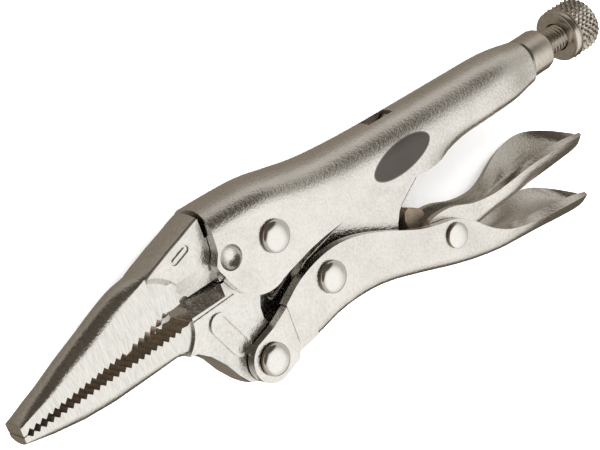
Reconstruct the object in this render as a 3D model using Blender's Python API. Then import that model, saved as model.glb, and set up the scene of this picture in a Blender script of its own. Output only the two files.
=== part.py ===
"""Long-nose locking pliers, lying on one side with every pivot axis upright.

Run with: blender --background --python part.py, or from the text editor.

Design frame: millimetres, with the jaw pivot's centre at the origin, +X from the jaw tip to the
adjusting knob, +Y towards the upper handle's back, and +Z along the pivots. Finished meshes are
scaled to metres and the tool is set down on Z = 0, centred in plan.
"""
import math

import bmesh
import bpy
from mathutils import Matrix, Vector

for old_object in list(bpy.data.objects):
    bpy.data.objects.remove(old_object, do_unlink=True)

# ---------------------------------------------------------------- driving dimensions (mm)
MM = 0.001
GAP = 0.3                      # clearance between pieces that touch

SHEET = 2.3                    # handle sheet thickness
HANDLE_HALF = 6.5              # half the width across both handles
INNER_HALF = HANDLE_HALF - SHEET
JAW_HALF = INNER_HALF - 0.2    # forged jaw bodies
TIP_HALF = 2.8                 # half the width of the nose at its tip and at its root
NOSE_ROOT_HALF = 3.3
LINK_HALF = 1.7
LEVER_SHEET = 1.6
LEVER_HALF = INNER_HALF - GAP

JAW_PIVOT = Vector((0.0, 0.0))
HANDLE_PIVOT = Vector((-10.0, -22.3))
LINK_PIVOT = Vector((9.5, -14.5))
LEVER_PIVOT = Vector((43.5, -23.4))
LINK_TAIL = Vector((46.8, 0.4))
LUG = Vector((-2.2, -12.9))    # the spring's hole in the lower jaw

RIVET_SHANK = 2.4
RIVET_HEAD = 3.4
RIVET_DOME = 1.5
LEVER_RIVET_SHANK = 1.8
LEVER_RIVET_HEAD = 2.8
LEVER_RIVET_DOME = 0.9

SCREW_RADIUS = 3.0             # M6 adjusting screw
SCREW_AXIS = -0.35             # height of the screw's axis
SCREW_START = 51.7
SHELL_END = 80.6               # rear end of the upper handle's sheet
BUSH_END = 88.6
BUSH_RADIUS = 4.85
KNOB_START = 94.3
KNOB_END = 103.4
KNOB_RADIUS = 6.0
KNOB_BORE_DEPTH = 5.5

TIP_X = -63.0
TAIL_END = 87.0                # the lower handle's spoon tail
TAIL_WIDEST = 76.0
TAIL_HALF = 9.3
LEVER_END = 91.4
MIDDLE_X = (TIP_X + KNOB_END) / 2
MIDDLE_Y = -13.31
REST_SHIFT = Vector((-MIDDLE_X, -MIDDLE_Y, TAIL_HALF))   # design origin in the finished frame
CUTTER_FRONT = -23.4           # the wire cutter lies between these places, at this height
CUTTER_REAR = -13.9
CUTTER_EDGE = -3.1
TOOTH_PITCH = 1.55
TOOTH_DEPTH = 0.75


# ---------------------------------------------------------------- shape helpers
def material(name, colour, roughness, metallic=1.0):
    """A plain Principled material."""
    made = bpy.data.materials.new(name)
    made.use_nodes = True
    shader = made.node_tree.nodes["Principled BSDF"]
    shader.inputs["Base Color"].default_value = (*colour, 1.0)
    shader.inputs["Roughness"].default_value = roughness
    shader.inputs["Metallic"].default_value = metallic
    return made


def smooth(points):
    """A smooth curve through (x, value) points, as a function of x."""
    slopes = []
    last = len(points) - 1
    for i in range(len(points)):
        before = points[max(i - 1, 0)]
        after = points[min(i + 1, last)]
        slopes.append((after[1] - before[1]) / (after[0] - before[0]))

    def value(x):
        if x <= points[0][0]:
            return points[0][1]
        if x >= points[last][0]:
            return points[last][1]
        i = max(k for k in range(last) if points[k][0] <= x)
        (x0, y0), (x1, y1) = points[i], points[i + 1]
        span = x1 - x0
        t = (x - x0) / span
        ease = t * t * (3 - 2 * t)
        start = t * (1 - t) ** 2 * span * slopes[i]
        end = t * t * (t - 1) * span * slopes[i + 1]
        return y0 + (y1 - y0) * ease + start + end

    return value


def arc(centre, radius, start_deg, end_deg, steps):
    """Points along an arc, both ends included."""
    points = []
    for i in range(steps + 1):
        angle = math.radians(start_deg + (end_deg - start_deg) * i / steps)
        points.append((centre[0] + radius * math.cos(angle), centre[1] + radius * math.sin(angle)))
    return points


def mesh_object(name, bm):
    """Turn a bmesh in millimetres into an object, with its normals outward."""
    bmesh.ops.recalc_face_normals(bm, faces=bm.faces)
    mesh = bpy.data.meshes.new(name)
    bm.to_mesh(mesh)
    bm.free()
    made = bpy.data.objects.new(name, mesh)
    bpy.context.scene.collection.objects.link(made)
    return made


def prism(name, outline, low, high):
    """A closed outline in X and Y, extruded along Z."""
    bm = bmesh.new()
    corners = [bm.verts.new((x, y, low)) for x, y in outline]
    face = bm.faces.new(corners)
    extruded = bmesh.ops.extrude_face_region(bm, geom=[face])
    moved = [item for item in extruded["geom"] if isinstance(item, bmesh.types.BMVert)]
    bmesh.ops.translate(bm, verts=moved, vec=(0, 0, high - low))
    return mesh_object(name, bm)


def box(name, low, high):
    """A box between two corners."""
    outline = [(low[0], low[1]), (high[0], low[1]), (high[0], high[1]), (low[0], high[1])]
    return prism(name, outline, low[2], high[2])


def bar(name, outline, half, steps=3):
    """A bar across Z from (x, y, crown) points, where crown raises an edge in the middle.

    half gives half the bar's width at x.
    """
    bm = bmesh.new()
    rows = []
    for i in range(-steps, steps + 1):
        across = math.sin(math.pi / 2 * i / steps)
        oval = math.sqrt(max(0.0, 1 - across * across))
        rows.append([bm.verts.new((x, y + crown * oval, across * half(x))) for x, y, crown in outline])
    for one, two in zip(rows, rows[1:]):
        for k in range(len(one)):
            following = (k + 1) % len(one)
            bm.faces.new((one[k], one[following], two[following], two[k]))
    bm.faces.new(rows[0])
    bm.faces.new(rows[-1])
    return mesh_object(name, bm)


def turned(name, profile, axis, centre, sides):
    """A solid turned from (radius, distance) points, from the axis out and back to the axis."""
    bm = bmesh.new()
    points = [bm.verts.new((radius, 0, along)) for radius, along in profile]
    edges = [bm.edges.new(pair) for pair in zip(points, points[1:])]
    bmesh.ops.spin(bm, geom=points + edges, cent=(0, 0, 0), axis=(0, 0, 1), angle=math.tau,
                   steps=sides, use_merge=True)
    bmesh.ops.remove_doubles(bm, verts=bm.verts, dist=0.0001)
    turn = Vector((0, 0, 1)).rotation_difference(Vector(axis)).to_matrix().to_4x4()
    bm.transform(Matrix.Translation(Vector(centre)) @ turn)
    return mesh_object(name, bm)


def drill(centre, radius, low=-20.0, high=20.0, sides=24):
    """A cutter for a round hole along Z."""
    return prism("drill", arc(centre, radius, 0, 360 - 360 / sides, sides - 1), low, high)


def boolean(target, tool, operation="DIFFERENCE"):
    """Cut or join with an exact boolean, then remove the tool."""
    modifier = target.modifiers.new(operation.lower(), "BOOLEAN")
    modifier.operation = operation
    modifier.solver = "EXACT"
    modifier.object = tool
    evaluated = target.evaluated_get(bpy.context.evaluated_depsgraph_get())
    result = bpy.data.meshes.new_from_object(evaluated)
    target.modifiers.clear()
    target.data = result
    bpy.data.objects.remove(tool, do_unlink=True)


def channel(name, sections):
    """A sheet bent along its length: sections are (x, outside path in z and y, sheet thickness)."""
    bm = bmesh.new()
    rows = []
    for x, path, thickness in sections:
        inside = offset_path(path, thickness)
        outer = [bm.verts.new((x, y, z)) for z, y in path]
        inner = [bm.verts.new((x, y, z)) for z, y in inside]
        rows.append((outer, inner))
    for (outer_a, inner_a), (outer_b, inner_b) in zip(rows, rows[1:]):
        for i in range(len(outer_a) - 1):
            bm.faces.new((outer_a[i], outer_a[i + 1], outer_b[i + 1], outer_b[i]))
            bm.faces.new((inner_a[i], inner_b[i], inner_b[i + 1], inner_a[i + 1]))
        for i in (0, -1):
            bm.faces.new((outer_a[i], outer_b[i], inner_b[i], inner_a[i]))
    for outer, inner in (rows[0], rows[-1]):
        for i in range(len(outer) - 1):
            bm.faces.new((outer[i], outer[i + 1], inner[i + 1], inner[i]))
    bmesh.ops.triangulate(bm, faces=bm.faces)
    return mesh_object(name, bm)


def offset_path(path, distance):
    """The path moved to its left by a distance, mitred at its corners."""
    moved = []
    last = len(path) - 1
    for i, point in enumerate(path):
        here = Vector(point)
        back = (here - Vector(path[i - 1])).normalized() if i > 0 else None
        ahead = (Vector(path[i + 1]) - here).normalized() if i < last else None
        back = back or ahead
        ahead = ahead or back
        normal_back = Vector((-back.y, back.x))
        normal_ahead = Vector((-ahead.y, ahead.x))
        middle = (normal_back + normal_ahead).normalized()
        moved.append(here + middle * distance / max(middle.dot(normal_back), 0.5))
    return [(point.x, point.y) for point in moved]


def mirrored(half):
    """A path across the middle from its half, which starts on the middle line."""
    other = [(-z, y) for z, y in reversed(half[1:])]
    return other + half


def tube(name, path, radii, sides):
    """A round solid along a path, with a radius at each point."""
    bm = bmesh.new()
    rings = []
    for i, point in enumerate(path):
        here = Vector(point)
        ahead = Vector(path[min(i + 1, len(path) - 1)]) - Vector(path[max(i - 1, 0)])
        side = ahead.cross(Vector((0.2, -0.3, 1.0))).normalized()
        up = side.cross(ahead).normalized()
        ring = []
        for k in range(sides):
            angle = math.tau * k / sides
            ring.append(bm.verts.new(here + radii[i] * (side * math.cos(angle) + up * math.sin(angle))))
        rings.append(ring)
    for one, two in zip(rings, rings[1:]):
        for k in range(sides):
            following = (k + 1) % sides
            bm.faces.new((one[k], one[following], two[following], two[k]))
    bm.faces.new(rings[0])
    bm.faces.new(rings[-1])
    return mesh_object(name, bm)


def empty(name, place, parent=None):
    """An empty on a joint's axis; place is in the design frame."""
    made = bpy.data.objects.new(name, None)
    made.empty_display_size = 4 * MM
    bpy.context.scene.collection.objects.link(made)
    world = (Vector(place) + REST_SHIFT) * MM
    if parent:
        made.parent = parent
        made.location = world - Vector(parent["world"])
    else:
        made.location = world
    made["world"] = list(world)
    return made


def finish(piece, parent, look):
    """Scale a piece to metres, put its origin on its parent's and give it its material."""
    origin = Vector(parent["world"])
    matrix = Matrix.Translation(-origin) @ Matrix.Scale(MM, 4) @ Matrix.Translation(REST_SHIFT)
    piece.data.transform(matrix)
    piece.parent = parent
    piece.data.materials.clear()
    piece.data.materials.append(look)
    return piece


# ---------------------------------------------------------------- upper handle
def upper_section(x):
    """The outside of the upper handle's channel at one place along it, seen from the front."""
    top = UPPER_TOP(x)
    half = UPPER_HALF(x)
    corner = min(UPPER_CORNER(x), half - 0.4)
    curl = math.radians(UPPER_CURL(x))
    step = 1.25
    steps = 4
    drop = sum(step * math.cos(curl * (k + 1) / steps) for k in range(steps))
    start = min(UPPER_BOTTOM(x) + drop, top - corner - 0.4)
    half_path = [(0.0, top)]
    half_path += [(half - corner + corner * math.sin(a), top - corner + corner * math.cos(a))
                  for a in (math.pi / 2 * k / 5 for k in range(6))]
    half_path.append((half, start))
    z, y = half, start
    for k in range(steps):
        angle = curl * (k + 1) / steps
        z -= step * math.sin(angle)
        y -= step * math.cos(angle)
        half_path.append((z, y))
    return mirrored(half_path)


UPPER_TOP = smooth([(-15, 12.0), (-5, 11.9), (2, 11.5), (8, 10.3), (15, 8.9), (22, 8.1), (33, 7.4),
                    (48, 6.9), (62, 6.5), (70, 6.2), (76, 5.5), (SHELL_END, 4.55)])
UPPER_BOTTOM = smooth([(-15, -11.0), (-4, -10.0), (-1.5, -8.8), (3, -7.7), (8, -6.6), (15, -5.9),
                       (24, -5.7), (36, -6.5), (46, -7.0), (50, -6.4), (56, -6.1), (68, -5.9),
                       (73, -5.8), (77, -5.5), (SHELL_END, -5.15)])
UPPER_HALF = smooth([(-16, HANDLE_HALF), (40, HANDLE_HALF), (50, HANDLE_HALF), (60, 6.35), (68, 6.25),
                     (72, 6.05), (75, 5.65), (78, 5.15), (SHELL_END, 4.85)])
UPPER_CORNER = smooth([(-15, 5.4), (0, 5.7), (20, 5.9), (50, 5.9), (69, 5.5), (75, 5.1), (SHELL_END, 4.4)])
UPPER_SHEET = smooth([(-15, SHEET), (66, SHEET), (74, 1.7), (SHELL_END, 1.4)])
UPPER_CURL = smooth([(-16, 0), (40, 0), (43, 0), (52, 45), (60, 80), (70, 92), (SHELL_END, 100)])


def upper_handle():
    """Stamped channel, open below, with the front lobes and the curled rear."""
    stations = [-16, -13, -10, -7, -4, -1.5, 1, 4, 7, 10, 13, 17, 21, 26, 31, 36, 41, 45, 48, 51,
                54, 58, 62, 66, 70, 73, 76, 78.4, SHELL_END]
    sections = []
    for x in stations:
        sections.append((x, upper_section(x), -UPPER_SHEET(x)))
    body = channel("upper_handle", sections)
    front = [(-12.8, 14.0), (-13.2, 7.0), (-13.5, 3.6), (-14.4, 1.6), (-14.2, 0.0), (-13.4, -2.8)]
    lobe = arc((-4.6, -0.8), 8.7, 200, 278, 9)
    outside = front + lobe + [(-1.5, -9.0), (-1.0, -30.0), (-40.0, -30.0), (-40.0, 14.0)]
    boolean(body, prism("front", outside, -20, 20))
    boolean(body, drill(JAW_PIVOT, RIVET_SHANK + GAP))
    window = box("window", (34.2, 2.0, -1.9), (41.2, 12.0, 1.9))
    boolean(body, window)
    tab = prism("tab", [(42.2, 6.6), (42.2, 5.4), (38.2, 3.2), (36.6, 3.9), (36.6, 5.1), (38.0, 4.5)],
                -1.5, 1.5)
    boolean(body, tab, "UNION")
    for side in (1, -1):
        dent = turned("dent", [(0, -1.3), (1.3, -1.1), (2.6, 0.4), (0, 0.4)], (0, 0, side),
                      (-11.0, 1.2, side * HANDLE_HALF), 16)
        boolean(body, dent)
    return body


# ---------------------------------------------------------------- jaws
def teeth(start, end, depth, lean):
    """A saw-tooth edge from start to end; depth points to the valleys' side."""
    count = round(abs(end[0] - start[0]) / TOOTH_PITCH)
    points = []
    for i in range(count + 1):
        t = i / count
        x = start[0] + (end[0] - start[0]) * t
        y = start[1] + (end[1] - start[1]) * t
        points.append((x, y))
        if i < count:
            share = (i + lean) / count
            points.append((start[0] + (end[0] - start[0]) * share,
                           start[1] + (end[1] - start[1]) * share + depth))
    return points


def plain(points):
    """Outline points for a bar, without a crown."""
    return [(x, y, 0.0) for x, y in points]


def nose_half(x):
    """Half the width of the long nose at a place along it."""
    share = min(1.0, max(0.0, (x - TIP_X) / (CUTTER_FRONT - TIP_X)))
    return TIP_HALF + (NOSE_ROOT_HALF - TIP_HALF) * share


def edge_cutter(side, edge, shoulder, far):
    """A cutter that bevels one flank of a wire-cutting edge, from its edge to its shoulder."""
    corners = [(0.4, edge), (JAW_HALF + 0.1, shoulder), (12.0, shoulder), (12.0, far), (0.4, far)]
    bm = bmesh.new()
    face = bm.faces.new([bm.verts.new((CUTTER_FRONT, y, side * z)) for z, y in corners])
    extruded = bmesh.ops.extrude_face_region(bm, geom=[face])
    moved = [item for item in extruded["geom"] if isinstance(item, bmesh.types.BMVert)]
    bmesh.ops.translate(bm, verts=moved, vec=(CUTTER_REAR - CUTTER_FRONT, 0, 0))
    return mesh_object("edge_cutter", bm)


NOSE_TOP = smooth([(-62.8, -5.6), (-58.7, -4.2), (-56, -3.5), (-50.1, -1.6), (-44.5, 0.25),
                   (-38.5, 2.7), (-33.9, 4.5), (-30.2, 5.4), (-24.4, 7.3), (-18.4, 9.2), (-13.6, 10.8)])
NOSE_CROWN = smooth([(-62.8, 0.5), (-58.7, 1.0), (-50, 2.0), (-44.5, 2.3), (-38.5, 2.2), (-33.9, 1.8),
                     (-30.2, 1.2), (-27.4, 0.75), (-13.6, 0.5)])
BELLY_CROWN = smooth([(TIP_X, 0.6), (-58, 1.3), (-50, 1.6), (-40, 1.6), (-30, 1.3), (-24, 0.8)])


def fixed_jaw():
    """Forged upper jaw: long nose, pipe grip, wire cutter and the shank inside the handle."""
    top_x = [-62.8, -59, -55, -51, -47, -43, -39, -35, -32, -29, -25, -20, -13.6]
    top = [(x, NOSE_TOP(x), NOSE_CROWN(x)) for x in top_x]
    shank_top = 6.6
    shank = [(-13.6, shank_top), (-5.4, shank_top)]
    eye_clearance = arc(JAW_PIVOT, 6.8, 137, 207, 6)
    cutter = [(-6.3, CUTTER_EDGE), (-20.6, CUTTER_EDGE), (-21.4, -1.7), (-23.2, -2.4), (-25.4, -2.6)]
    grip = teeth((-26.8, -2.3), (-36.6, -4.6), 0.9, 0.5)
    nose = teeth((-38.0, -4.9), (-62.2, -7.4), TOOTH_DEPTH, 0.35)
    tip = [(TIP_X, -7.5), (TIP_X, -5.9)]
    body = bar("fixed_jaw", top + plain(shank + eye_clearance + cutter + grip + nose + tip), nose_half)
    lobe = arc((-30.6, -2.9), 8.9, 8, 72, 8)
    cheek = ([(-21.75, -3.0)] + lobe + [(x, NOSE_TOP(x) - 0.15) for x in (-26, -21, -17, -13.6)]
             + [(-13.6, shank_top), (-9.0, shank_top), (-9.0, -3.0)])
    for side in (1, -1):
        low, high = sorted((side * TIP_HALF, side * JAW_HALF))
        boolean(body, prism("cheek", cheek, low, high), "UNION")
        boolean(body, edge_cutter(side, CUTTER_EDGE, 2.0, -12.0))
    return body


def lower_jaw():
    """Forged lower jaw: nose, cutter, pivot eye inside the handle, ear for the lower handle."""
    teeth_line = teeth((-62.2, -7.8), (-25.0, -7.0), -TOOTH_DEPTH, 0.65)
    step = [(-23.6, -7.2), (-22.8, -6.8), (-18.0, -6.8), (-18.0, -14.0), (-22.6, -15.0)]
    nose_belly = [(-24.2, -13.6), (-27.4, -12.5), (-33.0, -12.9), (-43.0, -13.1), (-50.0, -12.5),
                  (-56.5, -11.3), (-61.5, -10.0), (-62.9, -9.7)]
    crowned = [(x, y + BELLY_CROWN(x), -BELLY_CROWN(x)) for x, y in nose_belly]
    tip = [(TIP_X, -8.9), (TIP_X, -7.9)]
    body = bar("lower_jaw", plain(teeth_line + step) + crowned + plain(tip), nose_half)
    cutter = [(-22.3, -4.2), (-21.6, CUTTER_EDGE - GAP), (-5.0, CUTTER_EDGE - GAP)]
    eye = arc(JAW_PIVOT, 6.2, 213, -52, 16)
    back = [(-3.4, -8.6), (-6.4, -10.2), (-7.3, -12.4), (-7.4, -14.6), (-6.4, -16.8)]
    ear = arc(HANDLE_PIVOT, 4.8, 32, -126, 12)
    front = [(-15.4, -25.3), (-17.3, -22.6), (-19.2, -19.0), (-21.6, -15.8), (-24.2, -13.4)]
    lobe = arc((-30.0, -6.4), 7.4, -58, -2, 7)
    plate = prism("plate", cutter + eye + back + ear + front + lobe, -JAW_HALF, JAW_HALF)
    boolean(body, plate, "UNION")
    for side in (1, -1):
        boolean(body, edge_cutter(side, CUTTER_EDGE - GAP, -5.5, 0.0))
    lug = prism("lug", [(-9.0, -10.6), (-9.0, -15.4), (-3.0, -15.0)] + arc(LUG, 2.0, -90, 90, 6)
                + [(-3.0, -10.8)], -1.1, 1.1)
    boolean(body, lug, "UNION")
    boolean(body, drill(LUG, 0.95, sides=12))
    boolean(body, drill(JAW_PIVOT, RIVET_SHANK + GAP))
    boolean(body, drill(HANDLE_PIVOT, RIVET_SHANK + GAP))
    return body


# ---------------------------------------------------------------- troughs: lower handle, lever
def trough_section(bottom, rim, half, corner, dish):
    """The outside of a channel that opens upward; dish blends it from a U into a spoon."""
    wall = rim - bottom
    corner = min(corner, wall * 0.8, half - 0.5)
    length = [half - corner, corner * math.pi / 2, wall - corner]
    total = sum(length)
    steps = 10
    half_path = []
    for k in range(steps + 1):
        t = k / steps
        along = t * total
        if along <= length[0]:
            z, y = along, bottom
        elif along <= length[0] + length[1]:
            angle = (along - length[0]) / corner
            z = half - corner + corner * math.sin(angle)
            y = bottom + corner - corner * math.cos(angle)
        else:
            z, y = half, bottom + corner + along - length[0] - length[1]
        spoon_z, spoon_y = half * t, bottom + wall * t ** 2.2
        half_path.append((z + (spoon_z - z) * dish, y + (spoon_y - y) * dish))
    return mirrored(half_path)


LOWER_RIM = smooth([(-3, -14.0), (2, -11.2), (8.3, -9.5), (14, -9.3), (20, -10.6), (27, -13.5),
                    (34.6, -17.2), (40, -18.9), (45, -20.2), (49, -22.6), (53, -26.5), (58, -29.7),
                    (63, -31.1), (68, -31.8), (74, -32.1), (80, -33.0), (84, -34.6), (TAIL_END, -36.5)])
LOWER_BOTTOM = smooth([(-3, -25.0), (3, -24.4), (9.5, -23.2), (16, -23.0), (23, -23.9), (32, -26.6),
                       (43, -30.4), (55, -33.8), (62, -35.2), (70, -36.4), (78, -37.5),
                       (TAIL_END, -38.6)])
LOWER_HALF = smooth([(-3, HANDLE_HALF), (44, HANDLE_HALF), (52, HANDLE_HALF), (60, 6.9), (66, 7.9),
                     (72, 9.0), (TAIL_WIDEST, TAIL_HALF), (81, 8.5), (84.5, 6.2), (TAIL_END, 3.4)])
LOWER_DISH = smooth([(-3, 0), (46, 0), (55, 0.25), (64, 0.8), (70, 1), (TAIL_END, 1)])


def lower_handle():
    """Stamped channel, open towards the upper handle, with pressed ears and a spoon tail."""
    stations = [-3, 0, 3, 6, 9, 12, 16, 20, 24, 28, 33, 38, 42, 46, 49, 52, 55, 58, 62, 66, 70, 73,
                TAIL_WIDEST, 79, 82, 84.5, 86, TAIL_END]
    sections = []
    for x in stations:
        path = trough_section(LOWER_BOTTOM(x), LOWER_RIM(x), LOWER_HALF(x), 2.6, LOWER_DISH(x))
        sections.append((x, path, SHEET))
    body = channel("lower_handle", sections)
    outline = (arc(HANDLE_PIVOT, 4.95, 118, 292, 14) + [(-4.4, -25.8), (-3.6, -24.4), (2.0, -23.6)]
               + [(2.0, -12.4), (-2.8, -14.4), (-7.6, -16.6)])
    for side in (1, -1):
        low, high = sorted((side * (INNER_HALF + 0.15), side * (HANDLE_HALF - 0.25)))
        boolean(body, prism("ear", outline, low, high), "UNION")
    for pivot, radius in ((HANDLE_PIVOT, RIVET_SHANK), (LINK_PIVOT, RIVET_SHANK),
                          (LEVER_PIVOT, LEVER_RIVET_SHANK)):
        boolean(body, drill(pivot, radius + GAP))
    return body


LEVER_RIM = smooth([(38.6, -18.9), (42, -18.1), (47, -18.6), (53, -20.8), (59, -21.7), (63.5, -21.2),
                    (68, -20.2), (72, -19.6), (78, -19.3), (83, -19.9), (88, -21.6), (LEVER_END, -23.8)])
LEVER_BOTTOM = smooth([(38.6, -25.4), (43, -26.9), (50, -26.7), (58, -26.1), (66, -26.0), (76, -25.8),
                       (84, -25.5), (LEVER_END, -25.9)])
LEVER_WIDTH = smooth([(38.6, LEVER_HALF), (56, LEVER_HALF), (62, 4.6), (68, 6.3), (74, 8.0), (80, 8.8),
                      (84, 8.2), (88, 6.0), (LEVER_END, 3.0)])
LEVER_DISH = smooth([(38.6, 0), (56, 0), (64, 0.5), (72, 1), (LEVER_END, 1)])


def release_lever():
    """Small trough inside the lower handle, with a nose under the link and a spoon tail."""
    stations = [38.6, 40.5, 43, 46, 49, 52, 55, 58, 61, 64, 67, 70, 73, 76, 79, 82, 85, 88, 90, LEVER_END]
    sections = []
    for x in stations:
        path = trough_section(LEVER_BOTTOM(x), LEVER_RIM(x), LEVER_WIDTH(x), 2.4, LEVER_DISH(x))
        sections.append((x, path, LEVER_SHEET))
    body = channel("release_lever", sections)
    nose = [(38.0, -24.4), (36.2, -20.0), (35.6, -16.2), (36.2, -14.6), (37.4, -14.1), (40.6, -15.9),
            (41.2, -17.4), (39.6, -18.2), (39.6, -24.0)]
    half = LEVER_HALF - 0.4
    boolean(body, prism("nose", nose, -half, half), "UNION")
    boolean(body, drill(LEVER_PIVOT, LEVER_RIVET_SHANK + GAP))
    return body


# ---------------------------------------------------------------- link, spring, rivets, screw
def toggle_link():
    """Flat link from the lower handle to the adjusting screw's tip."""
    eye = arc(LINK_PIVOT, 4.3, 262, 104, 12)
    tail = arc(LINK_TAIL, 2.2, 115, -50, 8)
    edge = [(44.0, -7.4), (42.0, -9.2), (38.4, -11.2), (36.4, -12.4), (35.0, -13.6), (33.6, -15.9)]
    corner = arc((31.6, -15.6), 2.0, -10, -90, 4)
    body = prism("toggle_link", eye + [(20.4, -7.7)] + tail + edge + corner, -LINK_HALF, LINK_HALF)
    boolean(body, drill(LINK_PIVOT, RIVET_SHANK + GAP))
    return body


def tension_spring():
    """Coil spring from the lower jaw's lug to the tab in the upper handle, as a plain core."""
    path = [(-2.2, -12.9, -1.5), (-2.2, -12.9, 0.0), (-2.1, -12.9, 1.5), (-0.6, -12.6, 1.9),
            (3.0, -11.2, 1.0), (10.0, -8.0, 0.0), (11.0, -7.5, 0.0), (31.5, 2.3, 0.0),
            (32.4, 2.7, 0.0), (35.4, 4.2, 0.0)]
    radii = [0.45, 0.45, 0.45, 0.45, 0.45, 0.45, 2.0, 2.0, 0.45, 0.45]
    return tube("tension_spring", path, radii, 12)


def rivet(name, pivot, shank, head, dome):
    """A headed pin through both sheets, with a thin flange under each dome."""
    face = HANDLE_HALF + GAP
    flange = 0.35
    half = [(head, face), (head, face + flange * 0.7), (head * 0.9, face + flange)]
    half += [(head * 0.9 * math.cos(a), face + flange + (dome - flange) * math.sin(a))
             for a in (math.radians(d) for d in (25, 45, 65, 80))]
    half.append((0, face + dome))
    upper = [(shank, face)] + half
    lower = [(radius, -along) for radius, along in reversed(upper)]
    return turned(name, lower + upper, (0, 0, 1), (pivot.x, pivot.y, 0), 24)


def screw_bush():
    """Tapped bush at the end of the upper handle."""
    bore = SCREW_RADIUS + GAP
    start = SHELL_END + GAP
    profile = [(bore, start), (BUSH_RADIUS - 0.5, start), (BUSH_RADIUS, start + 0.6),
               (BUSH_RADIUS, BUSH_END - 1.2), (BUSH_RADIUS - 0.4, BUSH_END - 0.4),
               (BUSH_RADIUS - 1.1, BUSH_END), (bore, BUSH_END)]
    return turned("screw_bush", profile + profile[:1], (1, 0, 0), (0, SCREW_AXIS, 0), 32)


def adjusting_screw():
    """Threaded rod; its tip faces the link's tail and its rear end sits in the knob."""
    rear = KNOB_START + KNOB_BORE_DEPTH - GAP
    profile = [(0, SCREW_START), (1.9, SCREW_START), (SCREW_RADIUS, SCREW_START + 1.1),
               (SCREW_RADIUS, rear), (0, rear)]
    return turned("adjusting_screw", profile, (1, 0, 0), (0, SCREW_AXIS, 0), 24)


def adjusting_knob():
    """Round knob with a plain flange, a grip and a domed end."""
    bore = SCREW_RADIUS + GAP
    floor = KNOB_START + KNOB_BORE_DEPTH
    grip = KNOB_START + 1.5
    profile = [(0, floor), (bore, floor), (bore, KNOB_START), (KNOB_RADIUS - 0.3, KNOB_START),
               (KNOB_RADIUS, KNOB_START + 0.3), (KNOB_RADIUS, grip - 0.3),
               (KNOB_RADIUS - 0.7, grip), (KNOB_RADIUS - 0.2, grip + 0.6),
               (KNOB_RADIUS - 0.2, KNOB_END - 2.0), (KNOB_RADIUS - 0.9, KNOB_END - 0.8),
               (KNOB_RADIUS - 2.4, KNOB_END - 0.2), (0, KNOB_END)]
    return turned("adjusting_knob", profile, (1, 0, 0), (0, SCREW_AXIS, 0), 32)


# ---------------------------------------------------------------- assembly
plated = material("satin_plated_steel", (0.72, 0.70, 0.67), 0.32)
forged = material("plated_forged_steel", (0.74, 0.72, 0.69), 0.38)
bright = material("bright_rivet_steel", (0.80, 0.79, 0.77), 0.14)
screw_steel = material("plated_screw_steel", (0.66, 0.62, 0.55), 0.28)
spring_steel = material("spring_steel", (0.45, 0.43, 0.40), 0.35)

root = empty("tool_frame", (0, 0, 0))
jaw_joint = empty("jaw_pivot_axis", (*JAW_PIVOT, 0), root)
handle_joint = empty("lower_handle_axis", (*HANDLE_PIVOT, 0), jaw_joint)
link_joint = empty("link_axis", (*LINK_PIVOT, 0), handle_joint)
lever_joint = empty("lever_axis", (*LEVER_PIVOT, 0), handle_joint)
screw_joint = empty("screw_axis", (KNOB_START, SCREW_AXIS, 0), root)
knob_joint = empty("knob_axis", (KNOB_START, SCREW_AXIS, 0), screw_joint)

finish(upper_handle(), root, plated)
finish(fixed_jaw(), root, forged)
finish(rivet("jaw_rivet", JAW_PIVOT, RIVET_SHANK, RIVET_HEAD, RIVET_DOME), root, bright)
finish(screw_bush(), root, screw_steel)
finish(tension_spring(), root, spring_steel)
finish(lower_jaw(), jaw_joint, forged)
finish(lower_handle(), handle_joint, plated)
finish(rivet("handle_rivet", HANDLE_PIVOT, RIVET_SHANK, RIVET_HEAD, RIVET_DOME), handle_joint, bright)
finish(rivet("link_rivet", LINK_PIVOT, RIVET_SHANK, RIVET_HEAD, RIVET_DOME), handle_joint, bright)
finish(rivet("lever_rivet", LEVER_PIVOT, LEVER_RIVET_SHANK, LEVER_RIVET_HEAD, LEVER_RIVET_DOME),
       handle_joint, bright)
finish(toggle_link(), link_joint, plated)
finish(release_lever(), lever_joint, plated)
finish(adjusting_screw(), screw_joint, screw_steel)
finish(adjusting_knob(), knob_joint, screw_steel)
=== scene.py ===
"""The looks of the long-nose locking pliers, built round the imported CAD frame.

Shapes are drawn in the tool's own millimetres: the jaw pivot's centre is the origin, +X runs from
the jaw tip to the adjusting knob, +Y to the upper handle's back and +Z along the pivots. place()
then sets each finished piece into the frame, round the jaw rivet.
"""
import math

import bmesh
import bpy
from mathutils import Matrix, Vector


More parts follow.
